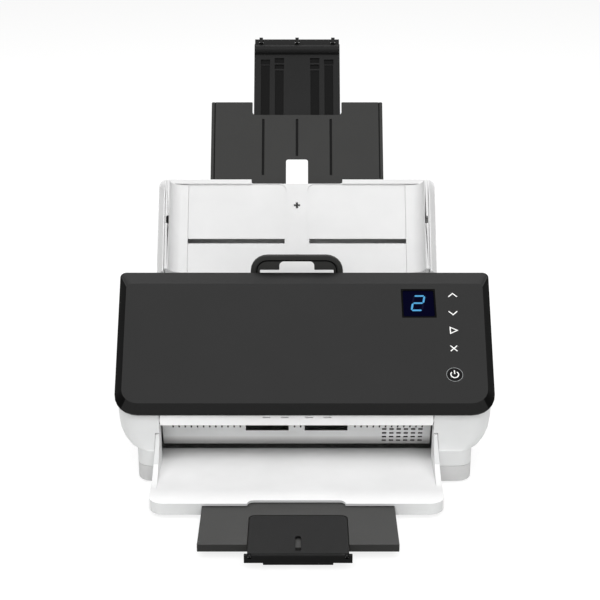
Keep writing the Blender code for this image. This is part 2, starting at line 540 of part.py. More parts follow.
# Pod chassis: tub under the panel, with a nose over the exit slot, hinge pins, roller ribs and lever guides
floor = PATH_N + PATH_GAP
front_at = lambda rise: (STRIP_Y - HINGE_Y + rise * sin_p) / cos_p
nose_at = lambda rise: (NOSE_Y - HINGE_Y + rise * sin_p) / cos_p
nose_top = LID_RISE - NOSE_GAP
TUB_BACK, TUB_LEAN = 133.5, 7.2
tub = [(front_at(floor), floor), (TUB_BACK, floor), (TUB_BACK - TUB_LEAN, CHASSIS_TOP), (8, CHASSIS_TOP),
       (6, nose_top), (nose_at(nose_top), nose_top), slope(NOSE_Y, NOSE_LOW)]
t = CHASSIS_WALL
hollow_line = [(front_at(floor + t) + t / cos_p, floor + t), (TUB_BACK - 0.6 - t, floor + t),
               (TUB_BACK - TUB_LEAN - t - 0.3, CHASSIS_TOP + 2),
               (nose_at(nose_top + 2) + t / cos_p, nose_top + 2), slope(NOSE_Y + t, NOSE_LOW + 0.7 * t)]
px0, px1 = PATH_X - CHASSIS_HALF, PATH_X + CHASSIS_HALF
pins = []
for sx in (-1, 1):
    a, b = sorted((PATH_X + sx * (CHASSIS_HALF - 1), PATH_X + sx * (OPENING_HALF + INNER_WALL)))
    pins.append(disc("x", 0, 0, TRUNNION_R, a, b, 24))
stand = FACE_RISE - PANEL_WALL - SEAT
studs = [disc("z", x, y, 4, floor + 1, stand, 16) for x in (PATH_X - OPENING_HALF + 15.4, WINDOW_X - 40.7)
         for y in (34, 115)]
sep_n = NIP + SEAT + SEP_R
pinch_n = NIP + SEAT + PINCH_R
ribs, rib_holes = [], []
for sx in (-1, 1):
    a, b = sorted((PATH_X + sx * (SEP_HALF + 4), PATH_X + sx * (SEP_HALF + 6)))
    ribs.append(box(a, b, PATH_S + FEED_S - 6, PATH_S + FEED_S + 6, floor + 1, PATH_N + sep_n + 5))
    rib_holes.append(disc("x", PATH_S + FEED_S, PATH_N + sep_n, SEP_AXLE_R + SEAT, a - 1, b + 1, 20))
    a, b = sorted((PATH_X + sx * (DRIVE_X + 12), PATH_X + sx * (DRIVE_X + 14)))
    ribs.append(box(a, b, PATH_S + DRIVE_S - 5, PATH_S + DRIVE_S + 5, floor + 1, PATH_N + pinch_n + 5))
    rib_holes.append(disc("x", PATH_S + DRIVE_S, PATH_N + pinch_n, PINCH_AXLE_R + SEAT, a - 1, b + 1, 16))
keepers = []
for sx in (-1, 1):
    a, b = sorted((PATH_X + sx * (LEVER_HALF - LEVER_LEG - 1), PATH_X + sx * (LEVER_HALF + 3)))
    keepers.append(turned(prism("x", [(116, 112.5), (123.1, 112.5), (123.1, 121), (108.5, 121)], a, b),
                          -PANEL_TILT, (0, 0, 0)))
keepers = [turned(k, 0, (0, slope(0, 0)[0], slope(0, 0)[1])) for k in keepers]
openings = [box(PATH_X - SEP_HALF - 2, PATH_X + SEP_HALF + 2, PATH_S + FEED_S - 7.4, PATH_S + FEED_S + 7.4,
                floor - 3, floor + t + 0.6),
            box(PATH_X - CIS_HALF - SEAT, PATH_X + CIS_HALF + SEAT,
                PATH_S + UPPER_CIS_S - GLASS_W / 2 - SEAT, PATH_S + UPPER_CIS_S + GLASS_W / 2 + SEAT,
                floor - 3, floor + t + 0.6)]
openings += [box(PATH_X + sx * DRIVE_X - 9.5, PATH_X + sx * DRIVE_X + 9.5, PATH_S + DRIVE_S - 5,
                 PATH_S + DRIVE_S + 5, floor - 3, floor + t + 0.6) for sx in (-1, 1)]
dash_y, dash_z = slope(NOSE_Y, DASH_Z)
dashes = [turned(box(PATH_X + d - DASH_HALF, PATH_X + d + DASH_HALF, -1, 3.4, -DASH_TALL / 2, DASH_TALL / 2),
                 -PANEL_TILT, (0, dash_y, dash_z)) for d in DASH_AT]
piece("pod_chassis", prism("x", tub, px0, px1), pod, WHITE, cuts=[prism("x", hollow_line, px0 + t, px1 - t)],
      late_joins=[gather(*pins), gather(*studs), gather(*ribs), gather(*keepers)],
      late_cuts=[gather(*openings), gather(*rib_holes), gather(*dashes)])
piece("upper_glass", box(PATH_X - CIS_HALF, PATH_X + CIS_HALF, PATH_S + UPPER_CIS_S - GLASS_W / 2,
                         PATH_S + UPPER_CIS_S + GLASS_W / 2, floor + 0.1, floor + t), pod, GLASS)
piece("upper_sensor", box(PATH_X - CIS_HALF, PATH_X + CIS_HALF, PATH_S + UPPER_CIS_S - CIS_W / 2,
                          PATH_S + UPPER_CIS_S + CIS_W / 2, floor + t + SEAT, floor + t + SEAT + CIS_DEEP),
                          pod, BLACK)
sep_axis = frame("separation_axis", pod, (PATH_X, PATH_S + FEED_S, PATH_N + sep_n))
piece("separation_axle", disc("x", 0, 0, SEP_AXLE_R, -SEP_HALF - 8, SEP_HALF + 8, 20), sep_axis, STEEL)
piece("separation_roller", disc("x", 0, 0, SEP_R, -SEP_HALF, SEP_HALF), sep_axis, RUBBER,
      cuts=[disc("x", 0, 0, SEP_AXLE_R + SEAT, -SEP_HALF - 3, SEP_HALF + 3, 20)])
pinch_axis = frame("pinch_axis", pod, (PATH_X, PATH_S + DRIVE_S, PATH_N + pinch_n))
piece("pinch_axle", disc("x", 0, 0, PINCH_AXLE_R, -DRIVE_X - 16, DRIVE_X + 16, 16), pinch_axis, STEEL)
for side, sx in (("left", -1), ("right", 1)):
    piece(f"pinch_roller_{side}", disc("x", 0, 0, PINCH_R, sx * DRIVE_X - 8, sx * DRIVE_X + 8, 24),
          pinch_axis, NYLON, cuts=[disc("x", 0, 0, PINCH_AXLE_R + SEAT, sx * DRIVE_X - 12,
                                        sx * DRIVE_X + 12, 16)])

# Release lever: arch with a finger notch, on two legs
lever = frame("lever_axis", pod, (PATH_X, 0, 0), -PANEL_TILT)
ly, lz = LEVER_Y - HINGE_Y, -HINGE_Z
leg = LEVER_HALF - LEVER_LEG
arch = fillet([(-LEVER_HALF, LEVER_FOOT + lz, 0), (-LEVER_HALF, LEVER_TOP + lz, LEVER_ROUND),
               (LEVER_HALF, LEVER_TOP + lz, LEVER_ROUND), (LEVER_HALF, LEVER_FOOT + lz, 0),
               (leg, LEVER_FOOT + lz, 0), (leg, LEVER_WEB + lz, 0), (FINGER_HALF, LEVER_WEB + lz, 0),
               (FINGER_HALF, FINGER_TOP + lz, 4), (-FINGER_HALF, FINGER_TOP + lz, 4),
               (-FINGER_HALF, LEVER_WEB + lz, 0), (-leg, LEVER_WEB + lz, 0), (-leg, LEVER_FOOT + lz, 0)], 6)
inner_half = LEVER_HALF - LEVER_RIM
dish = fillet([(-inner_half, LEVER_WEB + 0.01 + lz - 3, 0), (inner_half, LEVER_WEB + 0.01 + lz - 3, 0),
               (inner_half, LEVER_TOP - LEVER_RIM + lz, LEVER_ROUND - LEVER_RIM),
               (-inner_half, LEVER_TOP - LEVER_RIM + lz, LEVER_ROUND - LEVER_RIM)], 6)
piece("release_lever", prism("y", arch, ly, ly + LEVER_T), lever, BLACK,
      cuts=[prism("y", dish, ly - 2, ly + 1.6)])

# Input tray: bed with rails, spine, guide slots and the slot for the extensions
skin = BED_T
inner_x = TRAY_HALF - skin
pin_low = RACK_LOW - SEAT
fields = [prism("z", fillet([(sx * SPINE_HALF, TRAY_LOW - 5, 0),
                             (sx * (TRAY_HALF - RAIL_W), TRAY_LOW - 5, 0),
                             (sx * (TRAY_HALF - RAIL_W), TRAY_TOP - RIM_W, 1.5),
                             (sx * SPINE_HALF, TRAY_TOP - RIM_W, 6)], 4), BED - POCKET, BED + 10)
                             for sx in (-1, 1)]
slots = [box(*sorted((sx * (SPINE_HALF + 1.5), sx * (GUIDE_FACE + 2))), GUIDE_SLOT - GUIDE_SLOT_H / 2,
             GUIDE_SLOT + GUIDE_SLOT_H / 2, BED - BED_T - 2, BED + 2) for sx in (-1, 1)]
arms, pins = [], []
for sx in (-1, 1):
    a, b = sorted((sx * (ear_in - 6.2), sx * (ear_in - RUN)))
    arms.append(prism("x", hull([(TRAY_LOW + 8, TRAY_BACK + 0.5), (TRAY_LOW + 12, BED - 6),
                                 (TRAY_LOW + 0.5, BED - 3)] + [(5 * math.cos(k * math.pi / 9),
                                     5 * math.sin(k * math.pi / 9)) for k in range(18)]), a, b))
    a, b = sorted((sx * (ear_in - 1), sx * (ear_out + 0.4)))
    pins.append(disc("x", 0, 0, TRUNNION_R, a, b, 24))


def rail_ring(side, y):
    """Section of a tray rail: upright beside the guide, and sloping down to the edge of the tray."""
    left = TRAY_TOP - y
    round_off = TRAY_ROUND - math.sqrt(TRAY_ROUND ** 2 - max(0, TRAY_ROUND - left) ** 2)
    inner, rise = TRAY_HALF - RAIL_W, RIM_RISE + (RAIL_RISE - RIM_RISE) * min(1, left / RAIL_FALL)
    return [(side * inner, y, BED - 1), (side * inner, y, BED + rise),
            (side * (inner + RAIL_LAND), y, BED + rise),
            (side * (TRAY_HALF - round_off), y, BED - 1)]


rail_ends = [TRAY_LOW] + [TRAY_TOP - left for left in (RAIL_FALL, TRAY_ROUND, 3.6, 1.8, 0.8)]
rails = [loft([rail_ring(sx, y) for y in rail_ends]) for sx in (-1, 1)]
rims = [box(*sorted((sx * CUT_HALF, sx * (TRAY_HALF - RAIL_W + 1))), TRAY_TOP - RIM_W, TRAY_TOP, BED - 1,
            BED + RIM_RISE) for sx in (-1, 1)]
cross_y, cross, cross_w, mark_y = 72.0, 2.9, 1.0, 25.0
marks = [box(-cross, cross, cross_y - cross_w, cross_y + cross_w, BED - BED_T - 2, BED + 2),
         box(-cross_w, cross_w, cross_y - cross, cross_y + cross, BED - BED_T - 2, BED + 2),
         box(-1.5, 1.5, mark_y - 1.1, mark_y + 1.1, BED - BED_T - 2, BED + 2)]
shell = prism("z", fillet([(-TRAY_HALF, TRAY_LOW, 0), (TRAY_HALF, TRAY_LOW, 0),
                           (TRAY_HALF, TRAY_TOP, TRAY_ROUND), (-TRAY_HALF, TRAY_TOP, TRAY_ROUND)], 5),
                           TRAY_BACK + TRAY_BACK_T + SEAT, BED)
piece("input_tray", shell, tray, WHITE,
      cuts=[box(-inner_x, inner_x, TRAY_LOW + skin, TRAY_TOP - skin, -5, BED - skin)],
      late_joins=[*rails, *rims, gather(*arms), gather(*pins),
                  disc("z", 0, GUIDE_SLOT, 2.5, pin_low, BED - skin + 0.5, 20)],
      late_cuts=[gather(*fields), gather(*slots), *marks,
                 box(-WIDE_HALF - RUN, WIDE_HALF + RUN, TRAY_TOP - 6, TRAY_TOP + 3, -5, WIDE_FACE + RUN),
                 prism("z", fillet([(-CUT_HALF, TRAY_TOP - 3.5, 2), (CUT_HALF, TRAY_TOP - 3.5, 2),
                                    (CUT_HALF, TRAY_TOP + 4, 0), (-CUT_HALF, TRAY_TOP + 4, 0)], 3),
                                    WIDE_FACE - 1, BED + 5)])
gaps = [box(*sorted((sx * (ear_in - 6.2 - RUN), sx * ear_in)), TRAY_LOW - 5, TRAY_LOW + 14, -5, 10)
        for sx in (-1, 1)]
piece("tray_back", box(-TRAY_HALF, TRAY_HALF, TRAY_LOW, TRAY_TOP, TRAY_BACK, TRAY_BACK + TRAY_BACK_T), tray,
      WHITE, cuts=[gather(*gaps)])

# Side guides on racks, with the pinion between them
pitch_r = MODULE * TEETH / 2
pitch = math.pi * MODULE
ADDENDUM, DEDENDUM, SLACK, PRESSURE = 0.9, 1.3, 0.3, math.radians(20)


def involute(angle):
    return math.tan(angle) - angle


def gear_outline():
    base_r = pitch_r * math.cos(PRESSURE)
    half = (pitch / 2 - SLACK) / (2 * pitch_r)
    radii = [pitch_r - DEDENDUM, base_r] + [base_r + (pitch_r + ADDENDUM - base_r) * k / 3 for k in (1, 2, 3)]
    out = []
    for k in range(TEETH):
        mid = math.pi / 2 + 2 * math.pi * k / TEETH
        flank_at = [(r, half + involute(PRESSURE) - involute(math.acos(min(1, base_r / r)))) for r in radii]
        for r, a in flank_at:
            out.append((r * math.cos(mid - a), r * math.sin(mid - a)))
        for r, a in reversed(flank_at):
            out.append((r * math.cos(mid + a), r * math.sin(mid + a)))
    return out


def rack_outline(x_end, x_start):
    """Rack above the pinion, teeth pointing down to it."""
    low, half = GUIDE_SLOT + pitch_r, (pitch / 2 - SLACK) / 2
    out = [(x_start, low + 6.5), (x_start, low + DEDENDUM)]
    k = math.floor((x_start + 23.2) / pitch)
    while (k + 0.5) * pitch < x_end - half - 1:
        mid = (k + 0.5) * pitch
        out += [(mid - half - DEDENDUM * math.tan(PRESSURE), low + DEDENDUM),
                (mid - half + ADDENDUM * math.tan(PRESSURE), low - ADDENDUM),
                (mid + half - ADDENDUM * math.tan(PRESSURE), low - ADDENDUM),
                (mid + half + DEDENDUM * math.tan(PRESSURE), low + DEDENDUM)]
        k += 1
    return out + [(x_end, low + DEDENDUM), (x_end, low + 6.5)]


for side, sx in (("left", -1), ("right", 1)):
    home = frame(f"guide_{side}_axis", tray, (0, GUIDE_SLOT, BED))
    face, foot = GUIDE_FACE, GUIDE_FOOT
    base = SEAT - POCKET
    cove = [(-face - GUIDE_T, base), (-foot, base), (-foot, base + 1.3)]
    cove += [(-face + (face - foot) * 0.85 * (1 - math.sin(a)),
              base + 1.3 + (GUIDE_RISE - 3) * (1 - math.cos(a)))
              for a in [math.radians(18 * k) for k in range(1, 6)]]
    cove += [(-face, GUIDE_RISE - 0.8), (-face - 0.8, GUIDE_RISE), (-face - GUIDE_T + 0.8, GUIDE_RISE),
             (-face - GUIDE_T, GUIDE_RISE - 0.8)]
    body = prism("y", cove, 8.5 - GUIDE_SLOT, TRAY_TOP - 5 - GUIDE_SLOT)
    rack_x = face - 2
    under = prism("z", [(x, y - GUIDE_SLOT) for x, y in rack_outline(9, -rack_x)], RACK_LOW - BED,
                  RACK_HIGH - BED)
    block = box(-rack_x, -foot - 1, -2.4, 12, RACK_LOW - BED, RACK_HIGH - BED)
    stem = box(-rack_x + 1, -foot - 3, -GUIDE_SLOT_H / 2 + RUN, GUIDE_SLOT_H / 2 - RUN, RACK_LOW - BED + 1,
               0.6)
    catch = box(-face - 3.0, -face - 0.9, 12.3, 18.7, GUIDE_RISE - 8, GUIDE_RISE + 1)
    if sx > 0:
        catch.transform(Matrix.Scale(-1, 4, (1, 0, 0)))
        bmesh.ops.recalc_face_normals(catch, faces=catch.faces)
        body.transform(Matrix.Scale(-1, 4, (1, 0, 0)))
        bmesh.ops.recalc_face_normals(body, faces=body.faces)
        for part in (under, block, stem):
            part.transform(Matrix.Rotation(math.pi, 4, "Z"))
    piece(f"guide_{side}", body, home, WHITE, joins=[stem, block, under], cuts=[catch])
pinion_home = frame("pinion_axis", tray, (0, GUIDE_SLOT, 0))
piece("guide_pinion", prism("z", gear_outline(), RACK_LOW, RACK_HIGH), pinion_home, NYLON,
      cuts=[disc("z", 0, 0, 2.5 + SEAT, RACK_LOW - 2, RACK_HIGH + 2, 20)])

# Input extensions and the end flap
wide_home = frame("wide_axis", tray, (0, 0, 0))
rail_in = NARROW_HALF + RUN
plate_low = WIDE_FACE - WIDE_SKIN
outline = fillet([(-WIDE_HALF, WIDE_LOW, 1), (-NOTCH_HALF, WIDE_LOW, 0), (-NOTCH_HALF, NOTCH_TOP, 2),
                  (NOTCH_HALF, NOTCH_TOP, 2), (NOTCH_HALF, WIDE_LOW, 0), (WIDE_HALF, WIDE_LOW, 1),
                  (WIDE_HALF, WIDE_TOP, 1.2), (CUT_HALF, WIDE_TOP, 0.8), (CUT_HALF, WIDE_TOP - WIDE_CUT, 3),
                  (-CUT_HALF, WIDE_TOP - WIDE_CUT, 3), (-CUT_HALF, WIDE_TOP, 0.8),
                  (-WIDE_HALF, WIDE_TOP, 1.2)], 4)
edges = []
for sx in (-1, 1):
    edges.append(box(*sorted((sx * rail_in, sx * (rail_in + 2.4))), WIDE_LOW, WIDE_TOP - WIDE_CUT - 1,
                     WIDE_BACK, WIDE_FACE - 0.5))
    edges.append(box(*sorted((sx * (WIDE_HALF - 2.4), sx * WIDE_HALF)), WIDE_LOW + 2, WIDE_TOP - 5,
                     WIDE_BACK, WIDE_FACE - 0.5))
hooks = [box(*sorted((sx * (rail_in - 3), sx * (rail_in + 2.2))), WIDE_LOW, WIDE_TOP - WIDE_CUT - 1,
             WIDE_BACK, plate_low - NARROW_T - 2 * SEAT) for sx in (-1, 1)]
grooves = [box(x - 1.1, x + 1.1, lo, WIDE_TOP - WIDE_CUT - 4, WIDE_FACE - 0.9, WIDE_FACE + 1)
           for x, lo in ((-31, TRAY_TOP + 8), (31, TRAY_TOP + 8), (0, NOTCH_TOP + 3))]
grooves += [box(x - 0.5, x + 0.5, TRAY_TOP - 5, WIDE_TOP + 1, WIDE_FACE - 0.6, WIDE_FACE + 1)
            for x in (3.2 - WIDE_HALF, WIDE_HALF - 3.2)]
piece("wide_extension", prism("z", outline, plate_low, WIDE_FACE), wide_home, BLACK,
      joins=[gather(*edges), gather(*hooks)], cuts=[gather(*grooves)])

narrow_home = frame("narrow_axis", tray, (0, 0, 0))
nz1 = plate_low - SEAT
nz0 = nz1 - NARROW_T
pin_y, pin_z = NARROW_TOP + 1.2, nz1 + 1.8
lugs = [box(x - 1.6, x + 1.6, NARROW_TOP - 2, lug_top, nz0, pin_z + 2.2) for x in (-LUG_X, 0, LUG_X)]
lug_holes = [disc("x", pin_y, pin_z, FLAP_PIN_R + SEAT, x - 3, x + 3, 16) for x in (-LUG_X, 0, LUG_X)]
channels = [box(x - 4, x + 4, NARROW_LOW + 4, y, nz1 - 0.6, nz1 + 2) for x,
            y in ((-29.5, NARROW_TOP - 23), (-16.5, NARROW_TOP - 28), (16.5, NARROW_TOP - 28),
                  (29.5, NARROW_TOP - 23))]
pockets = [box(x - 4.3, x + 4.3, NARROW_TOP - lo, NARROW_TOP - hi, nz1 - 1.3, nz1 + 2) for x, lo,
           hi in ((-29.5, 22, 17), (-16.5, 20.5, 15.5), (-16.5, 26.5, 22), (16.5, 20.5, 15.5),
                  (16.5, 26.5, 22), (29.5, 22, 17))]
piece("narrow_extension",
      prism("z", fillet([(-NARROW_HALF, NARROW_LOW, 1), (NARROW_HALF, NARROW_LOW, 1),
                         (NARROW_HALF, NARROW_TOP, 2), (-NARROW_HALF, NARROW_TOP, 2)], 3), nz0, nz1),
      narrow_home, BLACK, joins=[gather(*lugs)],
      cuts=[gather(*lug_holes), gather(*channels), gather(*pockets)])
flap_home = frame("flap_axis", tray, (0, pin_y, pin_z))
flap_back = nz1 + SEAT - pin_z
lid_line = [(-FLAP_LEN, flap_back), (-0.9, flap_back), (0.9, -0.6), (0.9, 1.2), (-0.9, 1.5), (-3.4, 1.1)]
lid_line += [(-FLAP_LEN + FLAP_BULGE * (1 + math.cos(a)), flap_back + FLAP_BULGE * math.sin(a))
             for a in [math.radians(40 + 23 * k) for k in range(7)]]
cutouts = [box(x - 1.9, x + 1.9, NARROW_TOP - 3.1 - pin_y, 5, -5, 8) for x in (-LUG_X, 0, LUG_X)]
flap_half = NARROW_HALF - 0.6
piece("end_flap", prism("x", lid_line, -flap_half, flap_half), flap_home, BLACK, cuts=[gather(*cutouts)],
      late_joins=[disc("x", 0, 0, FLAP_PIN_R, -LUG_X - 3, LUG_X + 3, 14)])

# Output tray: floor, lip and the two fins
fall = (OUT_FRONT_Z - OUT_BACK_Z) / (OUT_BACK - OUT_FRONT)
top_at = lambda y, d=0.0: OUT_FRONT_Z - fall * (y - OUT_FRONT) - d
fin_low = top_at(FIN_FOOT, 1)
fin_line = [(FIN_TAIL, top_at(FIN_TAIL, 1)), (FIN_TAIL, FIN_TOP)]
fin_line += [((FIN_FOOT + 1) * (1 - math.cos(a)) ** 0.8 - 1,
              fin_low + (FIN_TOP - fin_low) * (1 - math.sin(a)) ** 0.8)
              for a in [math.radians(15 * k) for k in range(7)]]
fin_out = lambda z: FIN_IN + FIN_T + FIN_FLARE * (FIN_TOP - z) / (FIN_TOP - fin_low)
fins = [loft([[(sx * FIN_IN, y, z) for y, z in fin_line], [(sx * fin_out(z), y, z) for y, z in fin_line]])
        for sx in (-1, 1)]
out_plan = lambda inset, back: fillet([(-OUT_HALF + inset, back, 0), (OUT_HALF - inset, back, 0),
                                       (OUT_HALF - inset, OUT_FRONT + inset, OUT_ROUND - inset),
                                       (-OUT_HALF + inset, OUT_FRONT + inset, OUT_ROUND - inset)], 6)
under_plan = out_plan(WALL, OUT_BACK + 5)
slab = prism("z", out_plan(0, OUT_BACK), OUT_LOW, OUT_FRONT_Z + 3)
piece("output_tray", slab, outfeed, WHITE, cuts=[
    prism("x", [(OUT_FRONT - 5, top_at(OUT_FRONT - 5)), (OUT_BACK + 5, top_at(OUT_BACK + 5)),
                (OUT_BACK + 5, 60), (OUT_FRONT - 5, 60)], -OUT_HALF - 5, OUT_HALF + 5),
    loft([[(x, y, 0) for x, y in under_plan], [(x, y, top_at(y, OUT_T)) for x, y in under_plan]]),
    box(OUT_SHIFT - OUT_WIDE_HALF - RUN, OUT_SHIFT + OUT_WIDE_HALF + RUN, OUT_FRONT - 3,
        OUT_FRONT + WALL + 1, 0, top_at(OUT_FRONT, OUT_T)),
    prism("z", fillet([(-38, OUT_FRONT - 4, 0), (38, OUT_FRONT - 4, 0), (38, OUT_FRONT + 5.5, 5),
                       (-38, OUT_FRONT + 5.5, 5)], 4), 0, 40)], late_joins=[gather(*fins)])

# Output extensions and the end stop
wide_out = frame("output_wide_axis", outfeed, (OUT_SHIFT, 0, 0))
under = OUT_T + RUN
lip = 6.2
profile = [(OUT_WIDE_FRONT, top_at(OUT_WIDE_FRONT, under)), (OUT_WIDE_BACK, top_at(OUT_WIDE_BACK, under)),
           (OUT_WIDE_BACK, top_at(OUT_WIDE_BACK, under + OUT_WIDE_T)),
           (OUT_WIDE_FRONT + 2.5, top_at(OUT_WIDE_FRONT + 2.5, under + OUT_WIDE_T)),
           (OUT_WIDE_FRONT + 2.5, top_at(OUT_WIDE_FRONT, under + lip)),
           (OUT_WIDE_FRONT, top_at(OUT_WIDE_FRONT, under + lip))]
well = OUT_NARROW_T + 2 * SEAT
nest = prism("z", fillet([(-OUT_NARROW_HALF - RUN, OUT_NARROW_BACK + 0.6, 5),
                          (OUT_NARROW_HALF + RUN, OUT_NARROW_BACK + 0.6, 5),
                          (OUT_NARROW_HALF + RUN, OUT_WIDE_FRONT - 5, 0),
                          (-OUT_NARROW_HALF - RUN, OUT_WIDE_FRONT - 5, 0)], 4), 0, 8)
tilt_out = -math.degrees(math.atan(fall))
turned(nest, tilt_out, (0, 0, top_at(0, under + well)))
piece("output_wide", prism("x", profile, -OUT_WIDE_HALF, OUT_WIDE_HALF), wide_out, GREY, cuts=[nest])
narrow_out = frame("output_narrow_axis", outfeed, (OUT_SHIFT, 0, 0))
plate = prism("z", fillet([(-OUT_NARROW_HALF, OUT_NARROW_BACK, 5), (OUT_NARROW_HALF, OUT_NARROW_BACK, 5),
                           (OUT_NARROW_HALF, OUT_NARROW_FRONT, 0), (-OUT_NARROW_HALF, OUT_NARROW_FRONT, 0)],
                           4), 0, OUT_NARROW_T)
turned(plate, tilt_out, (0, 0, top_at(0, under + well - SEAT)))
pull_half, pull_front, pull_back = 2.1, OUT_NARROW_FRONT + 4, OUT_NARROW_FRONT + 25
pull = fillet([(-pull_half, pull_front, 0), (pull_half, pull_front, 0), (pull_half, pull_back, 2),
               (-pull_half, pull_back, 2)], 4)
groove = turned(prism("z", pull, -1, 5), tilt_out, (0, 0, top_at(0, under + well - SEAT)))
stop_y, stop_z = OUT_NARROW_FRONT - SEAT - STOP_DEEP / 2, top_at(OUT_NARROW_FRONT, under + 1.2)
knuckles = [box(x - KNUCKLE_HALF, x + KNUCKLE_HALF, stop_y - 0.4, OUT_NARROW_FRONT + 1, stop_z - 1.3,
                stop_z + 0.2) for x in (-KNUCKLE_X, KNUCKLE_X)]
piece("output_narrow", plate, narrow_out, BLACK, cuts=[groove], late_joins=[gather(*knuckles)])
stop_home = frame("stop_axis", outfeed, (OUT_SHIFT, stop_y, stop_z))
half_deep = STOP_DEEP / 2
bar = prism("x", fillet([(-half_deep, 1.2 - STOP_TALL, 0.8), (half_deep, 1.2 - STOP_TALL, 0.8),
                         (half_deep, 1.2, 0.6), (-half_deep, 1.2, 0.8)], 3), -STOP_HALF, STOP_HALF)
reliefs = [box(x - KNUCKLE_HALF - SEAT, x + KNUCKLE_HALF + SEAT, -half_deep - 1, half_deep + 3, -1.9, 3)
           for x in (-KNUCKLE_X, KNUCKLE_X)]
tab = box(-STOP_TAB_HALF, STOP_TAB_HALF, -half_deep + 0.4, half_deep - 0.4, 1.2 - STOP_TALL - STOP_TAB,
          2.2 - STOP_TALL)
piece("output_stop", bar, stop_home, BLACK, joins=[tab], cuts=[gather(*reliefs)])
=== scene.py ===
"""Sheet fed document scanner with both trays open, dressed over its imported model."""
import json
import math

import bmesh
import bpy
from mathutils import Matrix, Vector


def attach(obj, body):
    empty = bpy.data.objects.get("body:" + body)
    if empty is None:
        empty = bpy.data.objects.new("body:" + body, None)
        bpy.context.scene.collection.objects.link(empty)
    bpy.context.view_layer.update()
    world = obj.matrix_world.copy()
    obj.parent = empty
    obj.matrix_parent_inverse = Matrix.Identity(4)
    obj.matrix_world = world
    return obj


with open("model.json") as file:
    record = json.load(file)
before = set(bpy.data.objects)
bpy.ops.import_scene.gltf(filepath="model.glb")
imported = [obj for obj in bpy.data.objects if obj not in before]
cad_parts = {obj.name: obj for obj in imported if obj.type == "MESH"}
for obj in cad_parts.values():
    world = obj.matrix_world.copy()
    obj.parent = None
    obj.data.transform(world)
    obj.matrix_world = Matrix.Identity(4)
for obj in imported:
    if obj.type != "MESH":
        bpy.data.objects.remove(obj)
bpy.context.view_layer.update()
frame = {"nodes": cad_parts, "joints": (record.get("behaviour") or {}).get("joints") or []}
scene = bpy.context.scene

# Camera: a long lens about a metre in front of the desk edge, tipped down
# far enough to look over the panel and into both trays.
camera = bpy.data.objects.new("camera", bpy.data.cameras.new("camera"))
scene.collection.objects.link(camera)
camera.location = (-0.00375, -1.09068, 0.5645)
camera.rotation_euler = (math.radians(68), 0, 0)
camera.data.lens = 84
camera.data.sensor_width = 36
scene.camera = camera
scene.view_settings.view_transform = "Standard"


# Studio: a white paper sweep under two broad banks, with a low front fill and a strip behind.
# The sweep and the room read as white to the eye, and the paper keeps the shadow.
# Coated paper is matt, and glows a little towards the camera alone.
def linear(code):
    """Linear colour of an sRGB hex value such as 'e4e4e1'."""
    parts = [int(code[i:i + 2], 16) / 255 for i in (0, 2, 4)]
    return (*[c / 12.92 if c <= 0.04045 else ((c + 0.055) / 1.055) ** 2.4 for c in parts], 1)


def add(tree, kind, inputs=None, **settings):
    """One node with its settings. An input given as a socket is linked, any other is set."""
    node = tree.nodes.new(kind)
    for key, value in settings.items():
        setattr(node, key, value)
    for key, value in (inputs or {}).items():
        if isinstance(value, bpy.types.NodeSocket):
            tree.links.new(value, node.inputs[key])
        else:
            node.inputs[key].default_value = value
    return node


def bare_finish(name):
    """New material and its empty node tree."""
    made = bpy.data.materials.new(name)
    made.use_nodes = True
    made.node_tree.nodes.clear()
    return made, made.node_tree


ROOM_LIGHT = 0.36
room = bpy.data.worlds.new("white room")
scene.world = room
room.use_nodes = True
room.node_tree.nodes.clear()
tree = room.node_tree
rays = add(tree, "ShaderNodeLightPath")
seen = add(tree, "ShaderNodeMath", {0: rays.outputs["Is Camera Ray"], 1: rays.outputs["Is Glossy Ray"]},
           operation="MAXIMUM")
seen = add(tree, "ShaderNodeMath", {0: seen.outputs[0], 1: rays.outputs["Is Transmission Ray"]},
           operation="MAXIMUM")
dim = add(tree, "ShaderNodeBackground", {"Color": linear("ffffff"), "Strength": ROOM_LIGHT})
bright = add(tree, "ShaderNodeBackground", {"Color": linear("ffffff"), "Strength": 1.0})
both = add(tree, "ShaderNodeMixShader", {0: seen.outputs[0], 1: dim.outputs[0], 2: bright.outputs[0]})
add(tree, "ShaderNodeOutputWorld", {"Surface": both.outputs[0]})

PAPER_GLOW = 0.75
PAPER_HALF = 6.0
PAPER_DROP = 0.0002
paper, tree = bare_finish("white background paper")
rays = add(tree, "ShaderNodeLightPath")
share = add(tree, "ShaderNodeMath", {0: rays.outputs["Is Camera Ray"], 1: PAPER_GLOW}, operation="MULTIPLY")
matt = add(tree, "ShaderNodeBsdfDiffuse", {"Color": linear("f6f6f5")})
glow = add(tree, "ShaderNodeEmission", {"Color": linear("ffffff"), "Strength": 1.1})
both = add(tree, "ShaderNodeMixShader", {0: share.outputs[0], 1: matt.outputs[0], 2: glow.outputs[0]})
add(tree, "ShaderNodeOutputMaterial", {"Surface": both.outputs[0]})
sheet = bmesh.new()
bmesh.ops.create_grid(sheet, x_segments=1, y_segments=1, size=PAPER_HALF)
mesh = bpy.data.meshes.new("paper_sweep")
sheet.to_mesh(mesh)
sheet.free()
mesh.materials.append(paper)
sweep = bpy.data.objects.new("paper_sweep", mesh)
scene.collection.objects.link(sweep)
sweep.location.z = -PAPER_DROP

